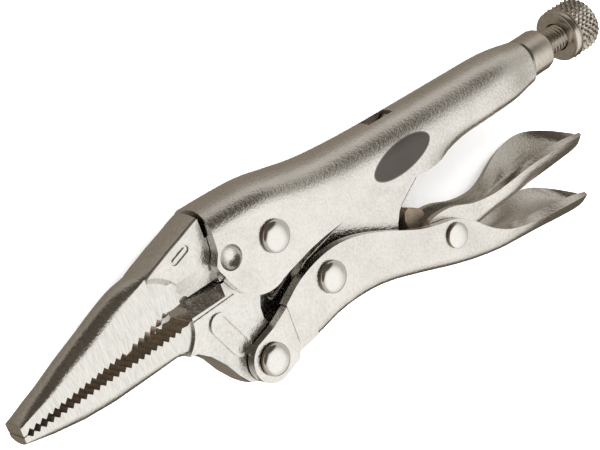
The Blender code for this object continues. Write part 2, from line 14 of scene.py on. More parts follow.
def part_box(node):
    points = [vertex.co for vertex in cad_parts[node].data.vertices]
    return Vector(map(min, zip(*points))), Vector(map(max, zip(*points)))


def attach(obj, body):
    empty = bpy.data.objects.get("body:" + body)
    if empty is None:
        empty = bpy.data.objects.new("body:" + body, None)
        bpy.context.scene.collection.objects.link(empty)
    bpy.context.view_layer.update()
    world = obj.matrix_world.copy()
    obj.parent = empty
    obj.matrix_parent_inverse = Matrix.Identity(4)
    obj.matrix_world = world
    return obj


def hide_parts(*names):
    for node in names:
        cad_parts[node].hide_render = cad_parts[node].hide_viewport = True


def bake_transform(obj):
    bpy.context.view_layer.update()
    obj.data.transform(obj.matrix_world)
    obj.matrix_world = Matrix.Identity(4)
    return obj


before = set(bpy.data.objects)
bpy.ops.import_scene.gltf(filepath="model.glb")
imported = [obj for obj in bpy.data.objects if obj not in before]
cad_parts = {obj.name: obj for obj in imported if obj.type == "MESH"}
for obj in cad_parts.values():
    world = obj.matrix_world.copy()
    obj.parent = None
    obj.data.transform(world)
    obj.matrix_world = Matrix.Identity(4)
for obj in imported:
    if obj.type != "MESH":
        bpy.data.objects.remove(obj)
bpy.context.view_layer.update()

MM = 0.001
rivet_low, rivet_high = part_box("jaw_rivet")
ORIGIN = (rivet_low + rivet_high) / 2
TO_FRAME = Matrix.Translation(ORIGIN) @ Matrix.Scale(MM, 4)

# ---------------------------------------------------------------- sizes in millimetres
SHEET = 2.3
HANDLE_HALF = 6.5
INNER_HALF = HANDLE_HALF - SHEET
JAW_HALF = INNER_HALF - 0.2
LINK_HALF = 1.7
LEVER_SHEET = 1.6
LEVER_HALF = INNER_HALF - 0.3
GAP = 0.3

JAW_PIVOT = Vector((0.0, 0.0))
HANDLE_PIVOT = Vector((-10.0, -22.3))
LINK_PIVOT = Vector((9.5, -14.5))
LEVER_PIVOT = Vector((43.5, -23.4))
LINK_TAIL = Vector((46.8, 0.4))
LUG = Vector((-2.2, -12.9))

RIVET_SHANK = 2.4
RIVET_HEAD = 3.4
RIVET_DOME = 1.5
LEVER_RIVET_SHANK = 1.8
LEVER_RIVET_HEAD = 2.8
LEVER_RIVET_DOME = 0.9

SCREW_AXIS = -0.35
SCREW_RADIUS = 3.0
SCREW_PITCH = 1.0
SCREW_START = 51.7
SHELL_END = 80.6
BUSH_START = SHELL_END + GAP
BUSH_END = 88.6
BUSH_RADIUS = 4.85
KNOB_START = 94.3
KNOB_END = 103.4
KNOB_RADIUS = 6.0
KNOB_BORE_DEPTH = 5.5
TAIL_END = 87.0
TAIL_WIDEST = 76.0
TAIL_HALF = 9.3
LEVER_END = 91.4

UPPER_FLANGE = 5.0              # lowest part of the upper handle's wall, which curls in at the rear
CORNER_MARGIN = 0.3             # flat left beside the middle line by the widest corner
WINDOW_HALF = 1.9
TAB_HALF = 1.5
DENT_RADIUS = 2.7
PATCH_CENTRE = (36.3, -1.0)
PATCH_TILT = 5.0

RIVET_SEAT = 0.08               # gap under a rivet head
RIVET_WALL = 0.5                # straight part of a rivet head, below its dome
KNURL_TEETH = 26
KNURL_DEPTH = 0.55
THREAD_DEPTH = 0.62
KNOB_FLANGE = 1.7

TIP_X = -63.0
PAD_INNER_HALF = 2.6            # where the cheek pad's sloping side leaves the nose
CUTTER_FRONT = -23.4
CUTTER_REAR = -13.9
CUTTER_EDGE = -3.1
TOOTH_PITCH = 1.55
NOSE_FACE_HALF = 3.45           # beyond this a face belongs to the cheek, not the nose
OXIDE_REAR = -23.0
GROUND_REAR = -21.5
SLOT_CENTRE = (-20.0, 6.3)
SLOT_LIE = (0.95, 0.31)
RING_CENTRE = (-15.9, -13.6)
RING_LIE = (0.412, -0.911)
LUG_HALF = 1.1
LUG_HOLE = 0.95
NOSE_BLOCK_HALF = 1.3           # half width of the release lever's nose
NOSE_BLOCK_END = 41.4


# ---------------------------------------------------------------- shape helpers
def smooth(points):
    """A smooth curve through (x, value) points, as a function of x."""
    slopes = []
    last = len(points) - 1
    for i in range(len(points)):
        before = points[max(i - 1, 0)]
        after = points[min(i + 1, last)]
        slopes.append((after[1] - before[1]) / (after[0] - before[0]))

    def value(x):
        """The curve's value at x; past its ends it stays level."""
        if x <= points[0][0]:
            return points[0][1]
        if x >= points[last][0]:
            return points[last][1]
        i = max(k for k in range(last) if points[k][0] <= x)
        (x0, y0), (x1, y1) = points[i], points[i + 1]
        span = x1 - x0
        t = (x - x0) / span
        ease = t * t * (3 - 2 * t)
        start = t * (1 - t) ** 2 * span * slopes[i]
        end = t * t * (t - 1) * span * slopes[i + 1]
        return y0 + (y1 - y0) * ease + start + end

    return value


def spaced(start, end, step):
    """Evenly spaced values from start to end, about step apart."""
    count = max(1, round(abs(end - start) / step))
    return [start + (end - start) * i / count for i in range(count + 1)]


def arc(centre, radius, start_deg, end_deg, steps):
    """Points along an arc, both ends included."""
    points = []
    for angle in spaced(math.radians(start_deg), math.radians(end_deg),
                        math.radians(abs(end_deg - start_deg)) / steps):
        points.append((centre[0] + radius * math.cos(angle), centre[1] + radius * math.sin(angle)))
    return points


def stadium(centre, lie, length, width):
    """A stadium outline lying along a direction."""
    along = math.degrees(math.atan2(lie[1], lie[0]))
    reach = (length - width) / 2
    step = Vector(lie).normalized() * reach
    one = arc((centre[0] + step.x, centre[1] + step.y), width / 2, along - 90, along + 90, 10)
    two = arc((centre[0] - step.x, centre[1] - step.y), width / 2, along + 90, along + 270, 10)
    return one + two


def mesh_object(name, bm):
    """Turn a bmesh into an object, with its normals outward."""
    bmesh.ops.recalc_face_normals(bm, faces=bm.faces)
    mesh = bpy.data.meshes.new(name)
    bm.to_mesh(mesh)
    bm.free()
    made = bpy.data.objects.new(name, mesh)
    bpy.context.scene.collection.objects.link(made)
    return made


def skin(bm, rows, closed=True):
    """Join rows of vertices into a skin; closed joins each row's end to its start."""
    for one, two in zip(rows, rows[1:]):
        count = len(one)
        for k in range(count if closed else count - 1):
            following = (k + 1) % count
            bm.faces.new((one[k], one[following], two[following], two[k]))


def turned_skin(bm, rows):
    """Join rings of vertices into a turned skin, where a row of one vertex is a closed tip."""
    for one, two in zip(rows, rows[1:]):
        if len(one) == 1 or len(two) == 1:
            tip, ring = (one[0], two) if len(one) == 1 else (two[0], one)
            for k in range(len(ring)):
                bm.faces.new((tip, ring[k], ring[(k + 1) % len(ring)]))
        else:
            skin(bm, [one, two])


def loft(name, one, two, low, high):
    """A solid between an outline at one height and an outline of as many points at another."""
    bm = bmesh.new()
    rows = [[bm.verts.new((x, y, z)) for x, y in outline] for outline, z in ((one, low), (two, high))]
    skin(bm, rows)
    bm.faces.new(rows[0])
    bm.faces.new(rows[1])
    return mesh_object(name, bm)


def prism(name, outline, low, high):
    """A closed outline in X and Y, extruded along Z."""
    return loft(name, outline, outline, low, high)


def slab(name, outline, side, low, high):
    """A closed outline extruded between two distances from the middle plane, on one side of it."""
    return prism(name, outline, *sorted((side * low, side * high)))


def bar(name, outline, half, steps=9):
    """A bar across Z from (x, y, crown, round) points, where crown raises an edge in the middle.

    half gives half the width at x. round blends the crown from a shallow arc to a full oval.
    """
    bm = bmesh.new()
    rows = []
    for i in range(-steps, steps + 1):
        across = math.sin(math.pi / 2 * i / steps)
        oval = math.sqrt(max(0.0, 1 - across * across))
        row = []
        for x, y, crown, share in outline:
            lift = crown * ((1 - share) * oval * oval + share * oval)
            row.append(bm.verts.new((x, y + lift, across * half(x))))
        rows.append(row)
    skin(bm, rows)
    bm.faces.new(rows[0])
    bm.faces.new(rows[-1])
    return mesh_object(name, bm)


def lathe(name, rings, sides, relief=None):
    """A solid turned about the screw's axis from (x, radius, relief share) rings."""
    bm = bmesh.new()
    rows = []
    for x, radius, share in rings:
        if radius == 0:
            rows.append([bm.verts.new((x, SCREW_AXIS, 0.0))])
            continue
        row = []
        for k in range(sides):
            angle = math.tau * k / sides
            r = radius - (share * relief(angle, x) if relief else 0)
            row.append(bm.verts.new((x, SCREW_AXIS + r * math.cos(angle), r * math.sin(angle))))
        rows.append(row)
    turned_skin(bm, rows)
    return mesh_object(name, bm)


def dome(name, pivot, profile, sides):
    """A solid turned about Z from (radius, height) points; zero radii close it."""
    bm = bmesh.new()
    rows = []
    for radius, height in profile:
        if radius == 0:
            rows.append([bm.verts.new((pivot[0], pivot[1], height))])
            continue
        ring = arc(pivot, radius, 0, 360 - 360 / sides, sides - 1)
        rows.append([bm.verts.new((x, y, height)) for x, y in ring])
    turned_skin(bm, rows)
    return mesh_object(name, bm)


def wire(name, path, radius, sides=10):
    """A round wire along a path, with its ends closed."""
    bm = bmesh.new()
    points = [Vector(point) for point in path]
    side = Vector((0.0, 0.0, 1.0))
    rows = []
    for i, here in enumerate(points):
        ahead = (points[min(i + 1, len(points) - 1)] - points[max(i - 1, 0)]).normalized()
        side = (side - ahead * side.dot(ahead)).normalized()
        up = ahead.cross(side)
        rows.append([bm.verts.new(here + radius * (side * math.cos(a) + up * math.sin(a)))
                     for a in (math.tau * k / sides for k in range(sides))])
    skin(bm, rows)
    bm.faces.new(rows[0])
    bm.faces.new(rows[-1])
    return mesh_object(name, bm)


def through(points, steps):
    """A smooth path through points in space, with steps stretches between two of them."""
    along = []
    coordinates = [smooth([(i, point[axis]) for i, point in enumerate(points)]) for axis in range(3)]
    for i in range((len(points) - 1) * steps + 1):
        along.append(tuple(value(i / steps) for value in coordinates))
    return along


def boolean(target, tool, operation="DIFFERENCE"):
    """Cut or join with an exact boolean, then remove the tool."""
    modifier = target.modifiers.new(operation.lower(), "BOOLEAN")
    modifier.operation = operation
    modifier.solver = "EXACT"
    modifier.object = tool
    evaluated = target.evaluated_get(bpy.context.evaluated_depsgraph_get())
    result = bpy.data.meshes.new_from_object(evaluated)
    target.modifiers.clear()
    target.data = result
    bpy.data.objects.remove(tool, do_unlink=True)


def drill(target, centre, radius, sides=40, low=-20.0, high=20.0):
    """Cut a round hole along Z."""
    boolean(target, prism("drill", arc(centre, radius, 0, 360 - 360 / sides, sides - 1), low, high))


def offset_path(path, distance):
    """The path moved to its left by a distance, mitred at its corners."""
    moved = []
    last = len(path) - 1
    for i, point in enumerate(path):
        here = Vector(point)
        back = (here - Vector(path[i - 1])).normalized() if i > 0 else None
        ahead = (Vector(path[i + 1]) - here).normalized() if i < last else None
        back = back or ahead
        ahead = ahead or back
        normal_back = Vector((-back.y, back.x))
        normal_ahead = Vector((-ahead.y, ahead.x))
        middle = (normal_back + normal_ahead).normalized()
        moved.append(here + middle * distance / max(middle.dot(normal_back), 0.5))
    return [(point.x, point.y) for point in moved]


def mirrored(half):
    """A path across the middle from its half, which starts on the middle line."""
    return [(-z, y) for z, y in reversed(half[1:])] + half


def channel(name, sections):
    """A sheet bent along its length: sections are (x, outside path in z and y, sheet thickness)."""
    bm = bmesh.new()
    rows = []
    for x, path, thickness in sections:
        outer = [bm.verts.new((x, y, z)) for z, y in path]
        inner = [bm.verts.new((x, y, z)) for z, y in offset_path(path, thickness)]
        rows.append(outer + inner[::-1])
    skin(bm, rows)
    count = len(rows[0])
    for row in (rows[0], rows[-1]):
        for i in range(count // 2 - 1):
            bm.faces.new((row[i], row[i + 1], row[count - 2 - i], row[count - 1 - i]))
    bmesh.ops.triangulate(bm, faces=bm.faces)
    return mesh_object(name, bm)


def rounded(piece, width, segments=2, angle=32):
    """Round a piece's sharp edges and keep its flats flat."""
    bevel = piece.modifiers.new("rounded_edges", "BEVEL")
    bevel.width = width * MM
    bevel.segments = segments
    bevel.limit_method = "ANGLE"
    bevel.angle_limit = math.radians(angle)
    bevel.use_clamp_overlap = True
    weighted = piece.modifiers.new("flat_faces", "WEIGHTED_NORMAL")
    weighted.keep_sharp = True
    weighted.weight = 60


def place(piece, body, looks, nodes=(), edge=0.0, smooth_angle=40):
    """Set a finished piece into the frame, on its body, with its materials."""
    piece.data.transform(TO_FRAME)
    piece.data.shade_smooth()
    piece.data.set_sharp_from_angle(angle=math.radians(smooth_angle))
    for look in looks:
        piece.data.materials.append(look)
    if edge:
        rounded(piece, edge)
    if body:
        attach(piece, body)
    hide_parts(*nodes)


# ---------------------------------------------------------------- materials
def node(tree, kind, **settings):
    """A new shader node with some of its properties and inputs set."""
    made = tree.nodes.new(kind)
    for key, value in settings.items():
        if hasattr(made, key):
            setattr(made, key, value)
        else:
            made.inputs[key.replace("_", " ")].default_value = value
    return made


def metal(name, light, dark, roughness, spread, grain=0.0, grain_size=0.3, brushed=None,
          blotch=6.0, strength=0.3, metallic=1.0):
    """A metal whose colour and gloss drift, with a fine grain and, if brushed, fine straight lines.

    light and dark are its colours, roughness and spread its gloss, grain_size and blotch are in mm,
    and brushed is the size of the lines along X, Y and Z in mm.
    """
    made = bpy.data.materials.new(name)
    made.use_nodes = True
    tree = made.node_tree
    link = tree.links.new
    shader = tree.nodes["Principled BSDF"]
    shader.inputs["Metallic"].default_value = metallic
    place_node = node(tree, "ShaderNodeTexCoord")
    drift = node(tree, "ShaderNodeTexNoise", Scale=1 / (blotch * MM), Detail=4.0, Roughness=0.6)
    link(place_node.outputs["Object"], drift.inputs["Vector"])
    colour = node(tree, "ShaderNodeValToRGB")
    colour.color_ramp.elements[0].position = 0.35
    colour.color_ramp.elements[0].color = (*dark, 1)
    colour.color_ramp.elements[1].position = 0.6
    colour.color_ramp.elements[1].color = (*light, 1)
    link(colour.outputs["Color"], shader.inputs["Base Color"])
    fine = node(tree, "ShaderNodeTexNoise", Scale=1 / (grain_size * MM), Detail=3.0, Roughness=0.65)
    speckle = node(tree, "ShaderNodeMix", data_type="FLOAT")
    speckle.inputs["Factor"].default_value = 1.0 if brushed else 0.6
    link(drift.outputs["Fac"], speckle.inputs["A"])
    link(fine.outputs["Fac"], speckle.inputs["B"])
    link(speckle.outputs["Result"], colour.inputs["Fac"])
    if brushed:
        mapping = node(tree, "ShaderNodeMapping")
        mapping.inputs["Scale"].default_value = tuple(grain_size / size for size in brushed)
        link(place_node.outputs["Object"], mapping.inputs["Vector"])
        link(mapping.outputs["Vector"], fine.inputs["Vector"])
    else:
        link(place_node.outputs["Object"], fine.inputs["Vector"])
    gloss = node(tree, "ShaderNodeMapRange")
    gloss.inputs["From Min"].default_value = 0.3
    gloss.inputs["From Max"].default_value = 0.7
    gloss.inputs["To Min"].default_value = roughness - spread
    gloss.inputs["To Max"].default_value = roughness + spread
    link(fine.outputs["Fac"], gloss.inputs["Value"])
    link(gloss.outputs["Result"], shader.inputs["Roughness"])
    if grain:
        bump = node(tree, "ShaderNodeBump", Strength=strength, Distance=grain * MM)
        link(fine.outputs["Fac"], bump.inputs["Height"])
        link(bump.outputs["Normal"], shader.inputs["Normal"])
    return made


PLATED = metal("satin_plating", (0.84, 0.82, 0.795), (0.68, 0.66, 0.63), 0.17, 0.07,
               grain=0.07, grain_size=0.6, strength=1.0)
FORGED = metal("plated_forging", (0.84, 0.825, 0.80), (0.66, 0.645, 0.62), 0.20, 0.07,
               grain=0.08, grain_size=0.65, strength=1.0)
GROUND = metal("ground_cheek", (0.86, 0.85, 0.83), (0.66, 0.64, 0.61), 0.28, 0.08,
               grain=0.02, grain_size=0.3, brushed=(0.22, 2.6, 0.22), strength=0.5)
TIP_FACE = metal("ground_tip", (0.70, 0.66, 0.60), (0.54, 0.50, 0.44), 0.33, 0.08,
                 grain=0.02, grain_size=0.3, brushed=(0.3, 0.2, 2.0), strength=0.5)
# Dark brown: the real oxide between the jaw teeth, and also painted shade on the rivet walls and on the
# release lever's nose.
OXIDE_AND_PAINTED_SHADE = metal("tooth_oxide_and_painted_shade", (0.40, 0.325, 0.25), (0.22, 0.17, 0.125), 0.40, 0.10,
              grain=0.03, grain_size=0.4, blotch=1.5, metallic=0.9)
POLISHED = metal("polished_rivet", (0.86, 0.85, 0.83), (0.80, 0.785, 0.76), 0.06, 0.025,
                 grain=0.006, grain_size=0.6, strength=0.25)
TURNED = metal("turned_steel", (0.72, 0.68, 0.62), (0.60, 0.555, 0.49), 0.22, 0.06,
               grain=0.012, grain_size=0.3, brushed=(0.15, 1.5, 1.5))
SPRING = metal("spring_wire", (0.50, 0.47, 0.43), (0.36, 0.33, 0.30), 0.28, 0.08, grain=0.01)
PATCH = metal("dark_printed_patch", (0.115, 0.105, 0.095), (0.085, 0.077, 0.07), 0.40, 0.07,
              grain=0.01, metallic=0.92)
PATCH_RIM = metal("patch_rim", (0.30, 0.28, 0.26), (0.22, 0.205, 0.19), 0.38, 0.06, grain=0.01)


# ---------------------------------------------------------------- upper handle
UPPER_TOP = smooth([(-15, 12.0), (-5, 11.9), (2, 11.5), (8, 10.3), (15, 8.9), (22, 8.1), (33, 7.4),
                    (48, 6.9), (62, 6.5), (70, 6.2), (76, 5.5), (SHELL_END, 4.55)])
UPPER_BOTTOM = smooth([(-15, -11.0), (-4, -10.0), (-1.5, -8.8), (3, -7.7), (8, -6.6), (15, -5.9),
                       (24, -5.7), (36, -6.5), (46, -7.0), (50, -6.4), (56, -6.1), (68, -5.9),
                       (73, -5.8), (77, -5.5), (SHELL_END, -5.15)])
UPPER_HALF = smooth([(-16, HANDLE_HALF), (40, HANDLE_HALF), (50, HANDLE_HALF), (60, 6.35), (68, 6.25),
                     (72, 6.05), (75, 5.65), (78, 5.15), (SHELL_END, 4.85)])
UPPER_CORNER = smooth([(-15, 5.4), (0, 5.9), (12, 6.5), (25, 7.3), (40, 7.6), (60, 7.5), (69, 6.7),
                       (75, 5.6), (SHELL_END, 4.4)])
UPPER_SHEET = smooth([(-15, SHEET), (66, SHEET), (74, 1.7), (SHELL_END, 1.4)])
UPPER_CURL = smooth([(-16, 0), (40, 0), (43, 0), (52, 45), (60, 80), (70, 92), (SHELL_END, 100)])


def upper_corner(x):
    """The upper handle's top, its half width, and how far down and across its oval corner goes."""
    half, down = UPPER_HALF(x), UPPER_CORNER(x)
    return UPPER_TOP(x), half, down, min(down, half - CORNER_MARGIN)


def upper_section(x):
    """The outside of the upper handle's channel at one place along it."""
    top, half, corner, across = upper_corner(x)
    curl = math.radians(UPPER_CURL(x))
    steps = 7
    step = UPPER_FLANGE / steps
    drop = sum(step * math.cos(curl * (k + 1) / steps) for k in range(steps))
    start = min(UPPER_BOTTOM(x) + drop, top - corner - 0.4)
    half_path = [(0.0, top)]
    half_path += [(half - across + across * math.sin(a), top - corner + corner * math.cos(a))
                  for a in spaced(0, math.pi / 2, math.pi / 24)]
    z, y = half, top - corner
    half_path += [(half, y + (start - y) * k / 3) for k in range(1, 4)]
    y = start
    for k in range(steps):
        angle = curl * (k + 1) / steps
        z -= step * math.sin(angle)
        y -= step * math.cos(angle)
        half_path.append((z, y))
    return mirrored(half_path)


def upper_handle():
    """Stamped channel, open below, with its front lobes, lanced tab and curled rear."""
    sections = [(x, upper_section(x), -UPPER_SHEET(x)) for x in spaced(-16, SHELL_END, 1.6)]
    body = channel("upper_handle_shell", sections)
    front = [(-12.6, 14.0), (-12.9, 9.5), (-13.1, 7.0), (-13.25, 4.6), (-13.5, 3.3), (-14.2, 2.1),
             (-14.7, 1.1), (-14.5, 0.0), (-13.9, -1.2), (-13.4, -2.7)]
    lobe = arc((-4.6, -0.8), 8.7, 200, 278, 16)
    boolean(body, prism("front", front + lobe + [(-1.5, -9.0), (-1.0, -30.0), (-40.0, -30.0),
                                                 (-40.0, 14.0)], -20, 20))
    drill(body, JAW_PIVOT, RIVET_SHANK + GAP)
    window = [(34.2, 2.0), (41.2, 2.0), (41.2, 12.0), (34.2, 12.0)]
    boolean(body, prism("window", window, -WINDOW_HALF, WINDOW_HALF))
    tab = [(42.2, 6.6), (42.2, 5.4), (38.2, 3.2), (36.6, 3.9), (36.6, 5.1), (38.0, 4.5)]
    boolean(body, prism("tab", tab, -TAB_HALF, TAB_HALF), "UNION")
    for side in (1, -1):
        face = side * HANDLE_HALF
        dent = [(0, face - side * 1.35)]
        dent += [(DENT_RADIUS * math.sin(a), face + side * (0.35 - 1.7 * math.cos(a)))
                 for a in spaced(math.pi / 18, math.pi / 2, math.pi / 18)]
        dent.append((DENT_RADIUS, face + side * 1.0))
        dent.append((0, face + side * 1.0))
        boolean(body, dome("dent", (-11.0, 1.2), dent, 28))
    place(body, "upper_body", [PLATED], ["upper_handle"], edge=0.42)


def upper_side(x, y):
    """How far the handle's outer side lies from the middle plane at a point of it."""
    top, half, corner, across = upper_corner(x)
    above = max(0.0, y - (top - corner))
    return half - across + across * math.sqrt(max(1 - (above / corner) ** 2, 0))


def oval_patch(name, long_half, short_half, proud, look):
    """A thin blank oval printed on the handle's side."""
    bm = bmesh.new()
    tilt = math.radians(PATCH_TILT)
    rows = []
    for share in [k / 10 for k in range(1, 11)]:
        row = []
        for k in range(64):
            angle = math.tau * k / 64
            u = long_half * share * math.cos(angle)
            v = short_half * share * math.sin(angle)
            x = PATCH_CENTRE[0] + u * math.cos(tilt) - v * math.sin(tilt)
            y = PATCH_CENTRE[1] + u * math.sin(tilt) + v * math.cos(tilt)
            row.append(bm.verts.new((x, y, upper_side(x, y) + proud)))
        rows.append(row)
    skin(bm, rows)
    bm.faces.new(rows[0])
    lower = bmesh.ops.extrude_face_region(bm, geom=list(bm.faces))
    moved = [item for item in lower["geom"] if isinstance(item, bmesh.types.BMVert)]
    bmesh.ops.translate(bm, verts=moved, vec=(0, 0, -proud - 0.05))
    place(mesh_object(name, bm), "upper_body", [look])


# ---------------------------------------------------------------- jaws
def teeth(start, end, depth, lean):
    """A saw-tooth edge from start to end; depth points to the valleys' side."""
    count = round(abs(end[0] - start[0]) / TOOTH_PITCH)
    points = []
    for i in range(count + 1):
        t = i / count
        points.append((start[0] + (end[0] - start[0]) * t, start[1] + (end[1] - start[1]) * t))
        if i < count:
            share = (i + lean) / count
            points.append((start[0] + (end[0] - start[0]) * share,
                           start[1] + (end[1] - start[1]) * share + depth))
    return points


def plain(points):
    """Outline points for a bar, without a crown."""
    return [(x, y, 0.0, 0.0) for x, y in points]


def edge_cutter(side, edge, flank, shoulder, far):
    """A cutter for one flank of a wire-cutting edge: a steep bevel, then a nearly flat one."""
    corners = [(0.4, edge), flank, (JAW_HALF + 0.1, shoulder), (12.0, shoulder), (12.0, far), (0.4, far)]
    bm = bmesh.new()
    rows = [[bm.verts.new((x, y, side * z)) for z, y in corners] for x in (CUTTER_FRONT, CUTTER_REAR)]
    skin(bm, rows)
    bm.faces.new(rows[0])
    bm.faces.new(rows[1])
    return mesh_object("edge_cutter", bm)


NOSE_HALF = smooth([(-63.0, 2.8), (-46.5, 3.05), (-30.0, 3.3)])
UPPER_EDGE = smooth([(-62.8, -5.9), (-61.6, -5.6), (-58.7, -4.9), (-56, -4.4), (-50.1, -2.7),
                     (-44.5, -0.95), (-38.5, 1.5), (-33.9, 3.6), (-30.2, 5.1), (-27.4, 6.3),
                     (-24.4, 7.35), (-21.4, 8.4), (-18.4, 9.3), (-15.4, 10.35), (-13.6, 10.9)])
UPPER_CROWN = smooth([(-62.8, 0.8), (-58.7, 1.7), (-56, 2.2), (-50, 3.1), (-44.5, 3.5), (-38.5, 3.4),
                      (-33.9, 2.7), (-30.2, 1.6), (-27.4, 0.8), (-20, 0.65), (-13.6, 0.6)])
UPPER_ROUND = smooth([(-62.8, 0.3), (-58, 0.8), (-52, 1.0), (-44, 1.0), (-36, 1.0), (-31, 0.7),
                      (-27, 0.1), (-20, 0.0), (-13.6, 0.0)])
BELLY_CROWN = smooth([(-63, 1.0), (-58, 2.0), (-50, 2.6), (-40, 2.8), (-30, 2.2), (-24, 1.2)])
GRIP_SAG = smooth([(-46, 0.0), (-40, 0.6), (-35, 1.9), (-30, 2.6), (-26.5, 1.6)])
UPPER_TEETH_LOW = smooth([(-63, -8.5), (-21, -8.5)])
UPPER_TEETH_HIGH = smooth([(-63, -6.4), (-50, -5.0), (-40, -3.5), (-36, -2.6), (-30, -0.6), (-27, 0.2),
                           (-21, 0.0)])
LOWER_TEETH_LOW = smooth([(-63, -8.9), (-40, -8.5), (-27, -8.2), (-21, -7.7)])
LOWER_TEETH_HIGH = smooth([(-63, -5.5), (-21, -5.5)])


def colour_jaw(piece, teeth_low, teeth_high):
    """Material numbers by place: 0 forging, 1 ground cheek, 2 oxide between the teeth, 3 tip."""
    for face in piece.data.polygons:
        centre, normal = face.center, face.normal
        ground = (TIP_X < centre.x < GROUND_REAR and abs(centre.z) < NOSE_FACE_HALF
                  and abs(normal.z) > 0.97)
        inside = abs(normal.z) < 0.95 and teeth_low(centre.x) < centre.y < teeth_high(centre.x)
        if centre.x < TIP_X + 0.4 and normal.x < -0.8:
            face.material_index = 3
        elif ground:
            face.material_index = 1
        elif inside and centre.x < OXIDE_REAR:
            face.material_index = 2


def fixed_jaw():
    """Forged upper jaw: long nose, pipe grip, wire cutter and the shank inside the handle."""
    top = [(x, UPPER_EDGE(x), UPPER_CROWN(x), UPPER_ROUND(x)) for x in spaced(-62.8, -13.6, 1.4)]
    shank_top = 6.6
    shank = [(-13.6, shank_top), (-5.4, shank_top)]
    eye_clearance = arc(JAW_PIVOT, 6.8, 137, 207, 10)
    cutter = [(-6.3, CUTTER_EDGE), (-20.6, CUTTER_EDGE), (-21.0, -2.2), (-21.8, -1.8), (-23.4, -2.4),
              (-25.4, -2.6)]
    grip = teeth((-26.8, -2.4), (-36.6, -4.7), 0.9, 0.5)
    nose = teeth((-38.0, -5.1), (-62.2, -7.6), 0.8, 0.4)
    tip = [(TIP_X, -7.65), (TIP_X, -5.9)]
    sagging = [(x, y, -GRIP_SAG(x), 1.0) for x, y in grip + nose]
    body = bar("fixed_jaw_forging", top + plain(shank + eye_clearance + cutter) + sagging + plain(tip),
               NOSE_HALF)
    pad_top = [(x, UPPER_EDGE(x) - 0.15) for x in spaced(-28.6, -13.6, 2.2)]
    pad_rear = [(-13.6, shank_top), (-9.0, shank_top), (-9.0, -3.0)]
    pad_outer = [(-21.75, -2.6)] + arc((-30.6, -2.9), 8.9, 8, 75, 14) + pad_top + pad_rear
    pad_inner = [(-24.0, -2.3)] + arc((-30.6, -2.9), 6.7, 8, 75, 14) + pad_top + pad_rear
    for side in (1, -1):
        pad = loft("pad", pad_inner, pad_outer, side * PAD_INNER_HALF, side * JAW_HALF)
        boolean(body, pad, "UNION")
        boolean(body, edge_cutter(side, CUTTER_EDGE, (2.3, -2.6), 2.0, -12.0))
        mark = loft("slot_mark", stadium(SLOT_CENTRE, SLOT_LIE, 4.6, 1.4),
                    stadium(SLOT_CENTRE, SLOT_LIE, 5.0, 1.8), side * (JAW_HALF - 0.35),
                    side * (JAW_HALF + 0.1))
        island = stadium(SLOT_CENTRE, SLOT_LIE, 3.9, 0.7)
        boolean(mark, loft("island", island, island, side * (JAW_HALF - 1), side * (JAW_HALF + 1)))
        boolean(body, mark)
    colour_jaw(body, UPPER_TEETH_LOW, UPPER_TEETH_HIGH)
    place(body, "upper_body", [FORGED, GROUND, OXIDE_AND_PAINTED_SHADE, TIP_FACE], ["fixed_jaw"],
          edge=0.16, smooth_angle=34)


